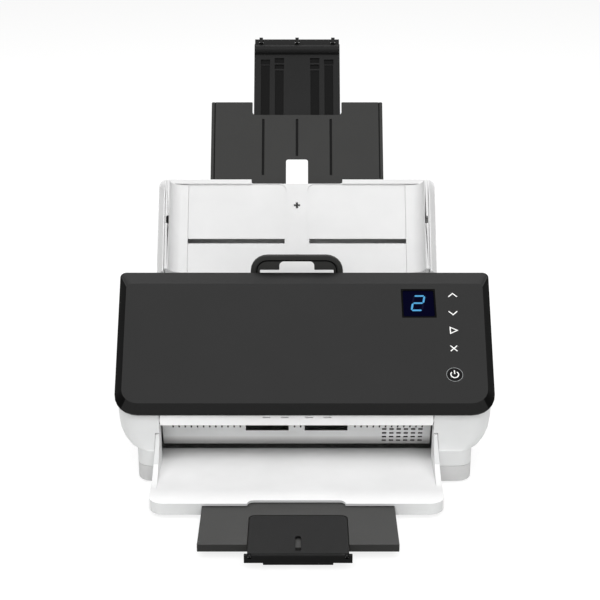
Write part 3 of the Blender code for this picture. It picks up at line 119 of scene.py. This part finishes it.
# Each lamp: place, aim, width and depth in metres, then watts.
LAMPS = {
    "front bank": ((0.0, -1.3, 1.6), (0.0, 0.0, 0.05), 2.2, 1.2, 24.0),
    "overhead bank": ((0.0, -0.6, 1.9), (0.0, -0.1, 0.0), 2.0, 1.0, 10.0),
    "front fill": ((0.0, -2.2, 0.8), (0.0, 0.0, 0.1), 2.4, 1.0, 1.5),
    "rear strip": ((0.0, 1.1, 1.5), (0.0, 0.0, 0.15), 1.8, 0.5, 14.0),
}
for name, (place, aim, wide, deep, watts) in LAMPS.items():
    lamp = bpy.data.lights.new(name, "AREA")
    lamp.shape = "RECTANGLE"
    lamp.size, lamp.size_y, lamp.energy = wide, deep, watts
    held = bpy.data.objects.new(name, lamp)
    scene.collection.objects.link(held)
    held.location = place
    held.rotation_euler = (Vector(aim) - Vector(place)).to_track_quat("-Z", "Y").to_euler()


# Lower housing: base plate, two hollow cheeks, rear cover and exit cover. White ABS,
# injection moulded in spark-eroded tools, which leaves a fine matt grain on every outer face.
# Flow of the melt gives broad, faint clouds in the white.
MM = 0.001
SHADED = 0.46
CLOUD_MM = 38
SATIN_SPREAD = 0.06


def moulded(name, code, roughness, grain_mm=0.9, relief_mm=0.02, drift=0.03, shine=0.5, shade_mm=None):
    """Moulded plastic or rubber. The grain is drawn about three times its real size so that it shows.

    Between two heights, given low first, the tone falls to SHADED of itself: painted shade, as at the foot
    of a slot.
    """
    made, tree = bare_finish(name)
    place = add(tree, "ShaderNodeTexCoord").outputs["Object"]
    flow = add(tree, "ShaderNodeTexNoise", {"Vector": place, "Scale": 1 / (CLOUD_MM * MM), "Detail": 3.0})
    tone = add(tree, "ShaderNodeMapRange", {"Value": flow.outputs[0], "From Min": 0.3, "From Max": 0.7,
                                            "To Min": 1 - drift, "To Max": 1 + drift})
    tint = add(tree, "ShaderNodeVectorMath", {0: linear(code)[:3], "Scale": tone.outputs[0]},
               operation="SCALE")
    if shade_mm:
        height = add(tree, "ShaderNodeSeparateXYZ", {0: place}).outputs["Z"]
        shade = add(tree, "ShaderNodeMapRange", {"Value": height, "From Min": shade_mm[0] * MM,
                                                 "From Max": shade_mm[1] * MM, "To Min": SHADED})
        tint = add(tree, "ShaderNodeVectorMath", {0: tint.outputs[0], "Scale": shade.outputs[0]},
                   operation="SCALE")
    grain = add(tree, "ShaderNodeTexNoise", {"Vector": place, "Scale": 1 / (grain_mm * MM), "Detail": 2.0})
    satin = add(tree, "ShaderNodeMapRange", {"Value": grain.outputs[0], "To Min": roughness - SATIN_SPREAD,
                                             "To Max": roughness + SATIN_SPREAD})
    relief = add(tree, "ShaderNodeBump", {"Height": grain.outputs[0], "Strength": 0.35,
                                          "Distance": relief_mm * MM})
    skin = add(tree, "ShaderNodeBsdfPrincipled",
               {"Base Color": tint.outputs[0], "Roughness": satin.outputs[0], "Normal": relief.outputs[0],
                "IOR": 1.53, "Specular IOR Level": shine})
    add(tree, "ShaderNodeOutputMaterial", {"Surface": skin.outputs[0]})
    return made


def dress(names, finish, edge_mm, least_bend=32):
    """Gives nodes their finish, joins their facets and rounds edges that bend by least_bend degrees."""
    for name in names:
        node = frame["nodes"][name]
        node.data.materials.clear()
        node.data.materials.append(finish)
        node.data.shade_smooth()
        node.modifiers.new("joined corners", "WELD").merge_threshold = 0.002 * MM
        flats = node.modifiers.new("whole faces", "DECIMATE")
        flats.decimate_type, flats.angle_limit = "DISSOLVE", math.radians(0.5)
        edge = node.modifiers.new("moulded edge", "BEVEL")
        edge.width, edge.segments, edge.limit_method = edge_mm * MM, 2, "ANGLE"
        edge.angle_limit = math.radians(least_bend)
        node.modifiers.new("even shading", "WEIGHTED_NORMAL").weight = 60


def part_finish(name, finish, chosen):
    """Gives some faces of a node a finish of their own, chosen by world normal and centre."""
    node = frame["nodes"][name]
    node.data.materials.append(finish)
    turn = node.matrix_world.to_3x3()
    for face in node.data.polygons:
        if chosen(turn @ face.normal, node.matrix_world @ face.center):
            face.material_index = len(node.data.materials) - 1


white_abs = moulded("white moulded ABS", "d6d7d7", 0.5)
dress(["left_cheek", "right_cheek", "rear_cover", "exit_cover"], white_abs, 0.5)
# The base plate gets a darker copy of the housing's white: painted shade low on the pedestals.
base_abs = moulded("white ABS darkened as painted shade near the floor", "c4c4c4", 0.5)
dress(["base_plate"], base_abs, 0.5)
# The exit cover's ledges and slot walls look up, down or aside, and the wall under its sill leans down.
# Both get painted shade: the ledges and slot walls a dark grey, the sill wall a tone that darkens towards
# its foot.
LEDGE_Y, SILL_Y, SILL_Z = -0.25, -0.5, -0.34
SILL_SHADE = (22.0, 29.0)
shaded_abs = moulded("white ABS in the shade of a slot", "4c4b48", 0.6, shine=0.1)
part_finish("exit_cover", shaded_abs, lambda normal, centre: normal.y > LEDGE_Y)
sill_abs = moulded("white ABS under the sill", "d4d4d3", 0.5, shade_mm=SILL_SHADE)
part_finish("exit_cover", sill_abs, lambda normal, centre: normal.y < SILL_Y and normal.z < SILL_Z)

# Feet: four soft black rubber pads, die cut and stuck into the base.
# Rubber gives a dull, slightly dusty black.
foot_rubber = moulded("black foot rubber", "1c1c1c", 0.85, grain_mm=1.4, drift=0.12)
dress(["foot_front_left", "foot_front_right", "foot_rear_left", "foot_rear_right"], foot_rubber, 0.3)

# Rear sockets: a black moulded power inlet and a data port in a nickel-plated steel shell,
# both soldered to the main board and reached through the rear cover.
black_abs = moulded("black moulded ABS", "1a1a1a", 0.42, drift=0.06, shine=0.1)
dress(["power_inlet"], black_abs, 0.2)
STREAK_MM = (9, 0.5, 0.5)


def rolled_steel(name, code, roughness):
    """Steel with fine drawn streaks along its length, which spread its highlights."""
    made, tree = bare_finish(name)
    place = add(tree, "ShaderNodeTexCoord").outputs["Object"]
    along = add(tree, "ShaderNodeMapping",
                {"Vector": place, "Scale": [1 / (size * MM) for size in STREAK_MM]})
    streak = add(tree, "ShaderNodeTexNoise", {"Vector": along.outputs[0], "Scale": 1.0, "Detail": 2.0})
    satin = add(tree, "ShaderNodeMapRange", {"Value": streak.outputs[0], "To Min": roughness - 0.1,
                                             "To Max": roughness + 0.1})
    relief = add(tree, "ShaderNodeBump", {"Height": streak.outputs[0], "Strength": 0.2,
                                          "Distance": 0.01 * MM})
    skin = add(tree, "ShaderNodeBsdfPrincipled", {"Base Color": linear(code), "Roughness": satin.outputs[0],
                                                  "Metallic": 1.0, "Normal": relief.outputs[0]})
    add(tree, "ShaderNodeOutputMaterial", {"Surface": skin.outputs[0]})
    return made


plated_steel = rolled_steel("plated rolled steel", "c4c5c6", 0.34)
dress(["data_port", "drive_motor", "left_frame", "right_frame"], plated_steel, 0.15)

# Circuit boards: glass-epoxy laminate under green solder mask.
# Copper tracks show through the mask as slightly lighter lines.
TRACK_MM = 9
board, tree = bare_finish("solder-masked laminate")
place = add(tree, "ShaderNodeTexCoord").outputs["Object"]
tracks = add(tree, "ShaderNodeTexBrick",
             {"Vector": place, "Color1": linear("1d5a33"), "Color2": linear("164a2a"),
              "Mortar": linear("2f7a46"), "Scale": 1 / (TRACK_MM * MM), "Mortar Size": 0.03})
skin = add(tree, "ShaderNodeBsdfPrincipled",
           {"Base Color": tracks.outputs["Color"], "Roughness": 0.38, "IOR": 1.55})
add(tree, "ShaderNodeOutputMaterial", {"Surface": skin.outputs[0]})
dress(["main_board", "control_board"], board, 0.1)

# Paper path: a dark grey plate with the lower glass let into it, and the sensor bars
# behind both glasses. The glass is thin float glass, bonded in, clear with a faint smear of handling.
SMEAR_MM = 14
path_abs = moulded("dark grey moulded ABS", "3a3a3a", 0.4, drift=0.05)
dress(["path_plate"], path_abs, 0.2)
dress(["lower_sensor", "upper_sensor", "display_module"], black_abs, 0.2)
glass, tree = bare_finish("float glass")
place = add(tree, "ShaderNodeTexCoord").outputs["Object"]
smear = add(tree, "ShaderNodeTexNoise", {"Vector": place, "Scale": 1 / (SMEAR_MM * MM), "Detail": 2.0})
haze = add(tree, "ShaderNodeMapRange", {"Value": smear.outputs[0], "To Min": 0.02, "To Max": 0.07})
skin = add(tree, "ShaderNodeBsdfPrincipled", {"Base Color": linear("d9e6e2"), "Roughness": haze.outputs[0],
                                              "IOR": 1.52, "Transmission Weight": 0.9})
add(tree, "ShaderNodeOutputMaterial", {"Surface": skin.outputs[0]})
dress(["lower_glass", "upper_glass"], glass, 0.1)

# Rollers: rubber tyres pressed on ground steel shafts, acetal pulleys and pinch rollers,
# and one ribbed rubber belt round them.
ground_steel = rolled_steel("ground steel", "d0d0d0", 0.26)
tyre_rubber = moulded("roller rubber", "2a2a2b", 0.8, grain_mm=1.2, drift=0.1)
acetal = moulded("natural acetal", "dcdad2", 0.38, drift=0.02)
for line in ("feed", "drive", "exit"):
    dress([f"{line}_shaft"], ground_steel, 0.3)
    dress([f"{line}_tyre_left", f"{line}_tyre_right"], tyre_rubber, 0.5)
    dress([f"{line}_pulley"], acetal, 0.3)
dress(["separation_axle", "pinch_axle"], ground_steel, 0.2)
dress(["separation_roller", "drive_belt"], tyre_rubber, 0.3)
dress(["pinch_roller_left", "pinch_roller_right", "motor_pulley", "guide_pinion"], acetal, 0.2)

# Pod: the white inner tub that swings up with the panel. Its front edge is the bright
# strip over the exit slot.
# The tub gets a lighter copy of the housing's white: painted light on the strip under the panel's overhang.
lit_white_abs = moulded("white ABS lightened as painted light", "efefef", 0.48)
dress(["pod_chassis"], lit_white_abs, 0.4)

# Front panel: a shallow lid in black ABS, with a finer grain and a little more sheen than the trays.
# It snaps over the tub and carries the display and the keys. Its rim is glossier, and rim and
# sides are darker copies of its black, painted shade; the band along its top is a touch lighter and duller,
# painted light.
panel_abs = moulded("black panel ABS", "1b1b1b", 0.45, grain_mm=0.7, relief_mm=0.012, drift=0.05, shine=0.15)
BAND_BEND = 17
dress(["front_panel"], panel_abs, 1.0, least_bend=BAND_BEND)
PANEL_TILT = 31
RIM_Z, RIM_Y, SIDE_X, BAND_Z, BAND_Y = 0.9, 0.3, 0.5, 0.8, 0.2
to_panel = Matrix.Rotation(math.radians(-PANEL_TILT), 3, "X")
rim_abs = moulded("black panel ABS darkened as painted shade on the rim", "131313", 0.3, grain_mm=0.7, relief_mm=0.004, shine=0.14)
part_finish("front_panel", rim_abs,
            lambda normal, centre: (to_panel @ normal).z < RIM_Z and (to_panel @ normal).y < RIM_Y)
side_abs = moulded("black panel ABS darkened as painted shade on the sides", "0a0a0a", 0.3, grain_mm=0.7, relief_mm=0.004, shine=0.015)
part_finish("front_panel", side_abs, lambda normal, centre: abs(normal.x) > SIDE_X)
band_abs = moulded("black panel ABS lightened as painted light along the top", "1d1d1d", 0.45, grain_mm=0.7, relief_mm=0.012, shine=0.07)
part_finish("front_panel", band_abs,
            lambda normal, centre: (to_panel @ normal).z > BAND_Z and (to_panel @ normal).y > BAND_Y)

# Printed keys: white ink, pad printed on the panel over touch pads on the control board.
# The ink is an even matt film, so the signs stay white from every side.
FACE_RISE = 17.7 * MM
hinge = Vector(next(j["pos_m"] for j in frame["joints"] if j["name"] == "pod_hinge"))
panel_face = Matrix.Translation(hinge) @ Matrix.Rotation(math.radians(PANEL_TILT), 4, "X")
panel_face @= Matrix.Translation((0, 0, FACE_RISE))
SHARPEST_MITRE = 0.35


def line_face(bm, points, width, rise, closed=False):
    """Flat line of constant width through points, mitred at the corners. All in mm."""
    points = [Vector(p) for p in points]
    count = len(points)
    sides = []
    for i, p in enumerate(points):
        before = points[i - 1] if closed or i else None
        after = points[(i + 1) % count] if closed or i < count - 1 else None
        a = (p - before).normalized() if before is not None else (after - p).normalized()
        b = (after - p).normalized() if after is not None else a
        normal = Vector((-(a + b).y, (a + b).x)).normalized()
        reach = width / 2 / max(SHARPEST_MITRE, normal.dot(Vector((-a.y, a.x))))
        sides.append([bm.verts.new((*((p + normal * reach * s) * MM), rise * MM)) for s in (-1, 1)])
    for i in range(count if closed else count - 1):
        (a, b), (c, d) = sides[i], sides[(i + 1) % count]
        bm.faces.new((a, c, d, b))


def settle(name, bm, place, finish, body):
    """Turns a mesh into a piece that rides on a body."""
    bmesh.ops.recalc_face_normals(bm, faces=bm.faces)
    mesh = bpy.data.meshes.new(name)
    bm.to_mesh(mesh)
    bm.free()
    mesh.materials.append(finish)
    made = bpy.data.objects.new(name, mesh)
    scene.collection.objects.link(made)
    made.matrix_world = place
    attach(made, body)


def pad_ink(name, code):
    """Screen ink: an even matt film with a slightly broken edge of colour."""
    made, tree = bare_finish(name)
    place = add(tree, "ShaderNodeTexCoord").outputs["Object"]
    film = add(tree, "ShaderNodeTexNoise", {"Vector": place, "Scale": 1 / (0.8 * MM), "Detail": 2.0})
    tone = add(tree, "ShaderNodeMapRange", {"Value": film.outputs[0], "To Min": 0.93, "To Max": 1.0})
    tint = add(tree, "ShaderNodeVectorMath", {0: linear(code)[:3], "Scale": tone.outputs[0]},
               operation="SCALE")
    skin = add(tree, "ShaderNodeBsdfPrincipled", {"Base Color": tint.outputs[0], "Roughness": 0.55})
    add(tree, "ShaderNodeOutputMaterial", {"Surface": skin.outputs[0]})
    return made


white_ink = pad_ink("white screen ink", "f2f2f0")
INK = 0.04
STROKE = 0.95
keys = bmesh.new()
line_face(keys, [(121.1, 109.7), (124.7, 113.3), (128.3, 109.7)], STROKE, INK)
line_face(keys, [(120.3, 94.6), (123.9, 91.0), (127.5, 94.6)], STROKE, INK)
line_face(keys, [(120.5, 78.1), (126.3, 75.0), (120.5, 71.9)], STROKE * 0.9, INK, closed=True)
line_face(keys, [(119.6, 54.1), (125.0, 59.5)], STROKE, INK)
line_face(keys, [(119.6, 59.5), (125.0, 54.1)], STROKE, INK * 1.2)
settle("key_prints", keys, panel_face, white_ink, "pod")

# Power button: a round black cap with the printed standby sign, in a thin bright bezel line.
# The cap is moulded in jet black ABS and travels in a bore of the panel.
cap_abs = moulded("jet black cap ABS", "0d0d0d", 0.45, grain_mm=0.7, shine=0.06)
dress(["power_button"], cap_abs, 0.3)
CAP = Vector((121.2, 31.0))
CAP_RISE = 0.2
SIGN_R, SIGN_BAR = 3.1, (0.4, 4.0)
BEZEL_R, BEZEL_WIDE, BEZEL_STEPS = 6.55, 0.4, 48
sign = bmesh.new()
turns = [math.radians(a) for a in range(38, 323, 12)]
ring = [CAP + SIGN_R * Vector((math.sin(a), math.cos(a))) for a in turns]
line_face(sign, ring, STROKE, CAP_RISE + INK)
line_face(sign, [CAP + Vector((0, end)) for end in SIGN_BAR], STROKE, CAP_RISE + INK)
settle("power_sign", sign, panel_face, white_ink, "button")
bezel_paint = pad_ink("satin silver ink", "8d8f90")
bezel = bmesh.new()
turns = [2 * math.pi * k / BEZEL_STEPS for k in range(BEZEL_STEPS)]
circle = [CAP + BEZEL_R * Vector((math.cos(a), math.sin(a))) for a in turns]
line_face(bezel, circle, BEZEL_WIDE, INK, closed=True)
settle("power_bezel", bezel, panel_face, bezel_paint, "pod")

# Display: a smoked acrylic pane over a seven-segment module, whose lit bars glow blue.
# The pane is nearly black with a trace of blue, and sits in a black rubber gasket.
lens, tree = bare_finish("smoked acrylic")
place = add(tree, "ShaderNodeTexCoord").outputs["Object"]
smear = add(tree, "ShaderNodeTexNoise", {"Vector": place, "Scale": 1 / (10 * MM), "Detail": 2.0})
haze = add(tree, "ShaderNodeMapRange", {"Value": smear.outputs[0], "To Min": 0.1, "To Max": 0.2})
skin = add(tree, "ShaderNodeBsdfPrincipled", {"Base Color": linear("04041a"), "Roughness": haze.outputs[0],
                                              "IOR": 1.49, "Specular IOR Level": 0.008})
add(tree, "ShaderNodeOutputMaterial", {"Surface": skin.outputs[0]})
dress(["display_window"], lens, 0.2)


def lit_bar(name, code, strength):
    """Diffused light from a lamp chip under a tinted bar."""
    made, tree = bare_finish(name)
    place = add(tree, "ShaderNodeTexCoord").outputs["Object"]
    spread = add(tree, "ShaderNodeTexNoise", {"Vector": place, "Scale": 1 / (5 * MM), "Detail": 1.0})
    tone = add(tree, "ShaderNodeMapRange", {"Value": spread.outputs[0], "To Min": 0.8, "To Max": 1.15})
    tint = add(tree, "ShaderNodeVectorMath", {0: linear(code)[:3], "Scale": tone.outputs[0]},
               operation="SCALE")
    skin = add(tree, "ShaderNodeBsdfPrincipled",
               {"Base Color": linear("020310"), "Roughness": 0.5, "Specular IOR Level": 0.02,
                "Emission Color": tint.outputs[0], "Emission Strength": strength})
    add(tree, "ShaderNodeOutputMaterial", {"Surface": skin.outputs[0]})
    return made


DIGIT = Vector((95.3, 103.6))
DIGIT_WIDE, DIGIT_TALL, BAR, LEAN, BAR_GAP = 8.8, 15.0, 1.6, 0.18, 0.25
PANE_DROP = -0.7
LIT = ("top", "upper_right", "middle", "lower_left", "bottom")
ends = {"top": ((-1, 1), (1, 1)), "upper_right": ((1, 1), (1, 0)), "lower_right": ((1, 0), (1, -1)),
        "bottom": ((-1, -1), (1, -1)), "lower_left": ((-1, 0), (-1, -1)), "upper_left": ((-1, 1), (-1, 0)),
        "middle": ((-1, 0), (1, 0))}
lit = bmesh.new()
unlit = bmesh.new()
for name, (start, stop) in ends.items():
    a = Vector((start[0] * DIGIT_WIDE / 2, start[1] * DIGIT_TALL / 2))
    b = Vector((stop[0] * DIGIT_WIDE / 2, stop[1] * DIGIT_TALL / 2))
    along = (b - a).normalized()
    across = Vector((-along.y, along.x)) * BAR / 2
    a, b = a + along * BAR_GAP, b - along * BAR_GAP
    point = along * BAR / 2
    bar = [a, a + point + across, b - point + across, b, b - point - across, a + point - across]
    shown = lit if name in LIT else unlit
    rise = (PANE_DROP + INK) * MM
    outline = [((DIGIT.x + p.x + LEAN * p.y) * MM, (DIGIT.y + p.y) * MM, rise) for p in bar]
    shown.faces.new([shown.verts.new(spot) for spot in outline])
settle("lit_bars", lit, panel_face, lit_bar("blue lamp bar", "5aaee4", 1.0), "pod")
gasket_rubber = moulded("black gasket rubber", "080808", 0.7, drift=0.05, shine=0.02)
PANE = Vector((95.7, 103.0))
PANE_HALF = Vector((13.7, 14.3))
GASKET_WIDE = 1.4
border = bmesh.new()
signs = ((-1, -1), (1, -1), (1, 1), (-1, 1))
corners = [PANE + Vector((PANE_HALF.x * sx, PANE_HALF.y * sy)) for sx, sy in signs]
line_face(border, corners, GASKET_WIDE, INK, closed=True)
settle("pane_border", border, panel_face, gasket_rubber, "pod")
settle("dark_bars", unlit, panel_face, lit_bar("dark lamp bar", "050620", 1.0), "pod")

# Release lever: a black glass-filled arch that runs in two guides behind the panel.
# Its front is dished inside a raised rim, and the shade at the foot of the rim is painted as a narrow flat
# black strip.
lever_nylon = moulded("glass-filled black nylon", "333332", 0.5, drift=0.06, shine=0.1)
dress(["release_lever"], lever_nylon, 0.7)
rim_shade_nylon = moulded("black nylon in the shade of the rim", "060606", 0.6, shine=0.02)
lever = frame["nodes"]["release_lever"]
lever_ends = [lever.matrix_world @ Vector(corner) for corner in lever.bound_box]
lever_top = Vector((sum(end.x for end in lever_ends) / len(lever_ends), min(end.y for end in lever_ends),
                    max(end.z for end in lever_ends)))
LEVER_DISH = 1.55
SHADE_LINE_HALF, SHADE_LINE_TOP, SHADE_LINE_END, SHADE_LINE_ROUND, SHADE_LINE_WIDE = 34.8, -5.0, -16.5, 9.5, 1.6
turns = [math.radians(a) for a in range(0, 91, 15)]
left = [(-SHADE_LINE_HALF + SHADE_LINE_ROUND * (1 - math.cos(a)), SHADE_LINE_TOP - SHADE_LINE_ROUND * (1 - math.sin(a)))
        for a in turns]
right = [(-x, y) for x, y in reversed(left)]
rim_line = [(-SHADE_LINE_HALF, SHADE_LINE_END), *left, *right, (SHADE_LINE_HALF, SHADE_LINE_END)]
groove = bmesh.new()
line_face(groove, rim_line, SHADE_LINE_WIDE, -LEVER_DISH)
upright = Matrix.Translation(lever_top) @ Matrix.Rotation(math.radians(90), 4, "X")
settle("lever_rim_shade", groove, upright, rim_shade_nylon, "release")

# Input tray: white bed with its back cover, and two side guides on racks under the bed.
# All four are moulded in the housing's white ABS, a shade lighter.
tray_abs = moulded("white tray ABS", "d8d8d8", 0.48)
dress(["input_tray", "tray_back", "guide_left", "guide_right"], tray_abs, 0.5)

# Input extensions: a wide charcoal plate that slides out of the tray, a narrow black one inside it,
# and the hinged flap at its end.
charcoal_abs = moulded("charcoal moulded ABS", "242423", 0.5, drift=0.06, shine=0.18)
dress(["wide_extension"], charcoal_abs, 0.4)
FLUSH, FACING, SHALLOWEST = 0.9, 0.3, 0.1


def in_groove(name, facing, deepest):
    """Test for the floors of grooves in a plate's main face, down to a depth in mm."""
    node = frame["nodes"][name]
    turn = node.matrix_world.to_3x3()
    faces = [f for f in node.data.polygons if (turn @ f.normal).dot(facing) > FLUSH]
    main = (node.matrix_world @ max(faces, key=lambda f: f.area).center).dot(facing)
    return lambda normal, centre: (normal.dot(facing) > FACING
                                   and SHALLOWEST * MM < main - centre.dot(facing) < deepest * MM)


TRAY_TILT = 53
GROOVE_DEEP, POCKET_DEEP = 1.5, 2.4
tray_up = Matrix.Rotation(math.radians(TRAY_TILT), 3, "X") @ Vector((0, 0, 1))
groove_abs = moulded("black ABS in the shade of a groove", "161616", 0.6, shine=0.05)
part_finish("wide_extension", groove_abs, in_groove("wide_extension", tray_up, GROOVE_DEEP))
narrow_abs = moulded("soot black moulded ABS", "181818", 0.5, drift=0.06, shine=0.09)
dress(["narrow_extension", "end_flap"], narrow_abs, 0.3)
pocket_abs = moulded("black ABS in the shade of a pocket", "101010", 0.6, shine=0.05)
part_finish("narrow_extension", pocket_abs, in_groove("narrow_extension", tray_up, POCKET_DEEP))

# Output tray: white floor with a lip and two fins, which slides back under the housing.
# The floor has a lighter copy of the housing's white, painted light, and the faces looking forward, the
# lip's front among them, keep the housing's plain white.
LIP_Y = -0.6
dress(["output_tray"], lit_white_abs, 0.7)
part_finish("output_tray", white_abs, lambda normal, centre: normal.y < LIP_Y)

# Output extensions: a grey plate under the tray, a black one let into it and a stop bar at its end.
# All are moulded ABS with the trays' grain. The grey plate's faces looking forward get the darker charcoal,
# painted shade.
EDGE_Y = -0.7
grey_abs = moulded("grey moulded ABS", "343433", 0.5, drift=0.05, shine=0.2)
dress(["output_wide"], grey_abs, 0.4)
part_finish("output_wide", charcoal_abs, lambda normal, centre: normal.y < EDGE_Y)
dress(["output_narrow"], narrow_abs, 0.3)
stop_abs = moulded("jet black moulded ABS", "0e0e0e", 0.5, drift=0.05, shine=0.07)
dress(["output_stop"], stop_abs, 0.3)

# Stop webs: two small ribs under the front edge of the black plate, moulded with it,
# which back up the stop's hinge knuckles.
stop_axis = Vector(next(j["pos_m"] for j in frame["joints"] if j["name"] == "outfeed_stop_flip"))
KNUCKLE = 35.4
WEB_Y, WEB_Z = 2.7, -1.4
WEB_SIZE = (7, 1, 1.8)
webs = bmesh.new()
for x in (-KNUCKLE, KNUCKLE):
    block = Matrix.Translation(Vector((x, WEB_Y, WEB_Z)) * MM)
    block @= Matrix.Diagonal((*[side * MM for side in WEB_SIZE], 1))
    bmesh.ops.create_cube(webs, size=1.0, matrix=block)
settle("stop_webs", webs, Matrix.Translation(stop_axis), narrow_abs, "outfeed_narrow")
